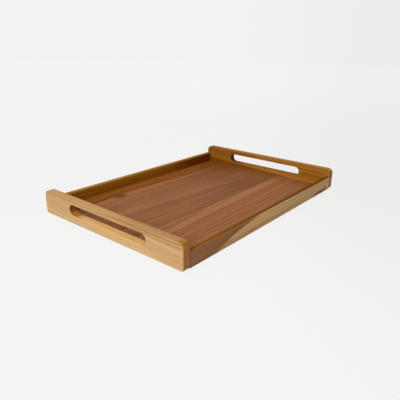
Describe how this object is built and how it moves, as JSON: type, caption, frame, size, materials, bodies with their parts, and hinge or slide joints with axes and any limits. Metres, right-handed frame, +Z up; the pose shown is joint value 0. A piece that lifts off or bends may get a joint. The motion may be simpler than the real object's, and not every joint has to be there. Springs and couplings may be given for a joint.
{
  "type": "serving tray",
  "caption": "Rectangular oiled teak serving tray with low sides, taller end boards with rounded corners and a long hand slot in each end.",
  "frame": {"origin": "middle of the tray's footprint, on the plane that it rests on", "axes": "+X along the tray from one end board to the other, +Y across it from the front rail to the back rail, +Z up"},
  "size_m": [0.45, 0.31, 0.04],
  "materials": {
    "teak_pale": "oiled satin",
    "teak_golden": "oiled satin",
    "teak_rail_front": "oiled satin",
    "teak_rail_back": "oiled satin",
    "teak_floor_red": "oiled satin",
    "teak_floor_brown": "oiled satin",
    "teak_floor_golden": "oiled satin",
    "dowel_beech": "raw",
    "pin_steel": "bright"
  },
  "bodies": {
    "root": {"end_board_left": "teak_pale", "end_board_right": "teak_golden", "side_rail_front": "teak_rail_front", "side_rail_back": "teak_rail_back", "floor_stave_front": "teak_floor_red", "floor_stave_middle": "teak_floor_brown", "floor_stave_back": "teak_floor_golden", "corner_dowels": "dowel_beech", "floor_pins": "pin_steel"}
  },
  "joints": []
}
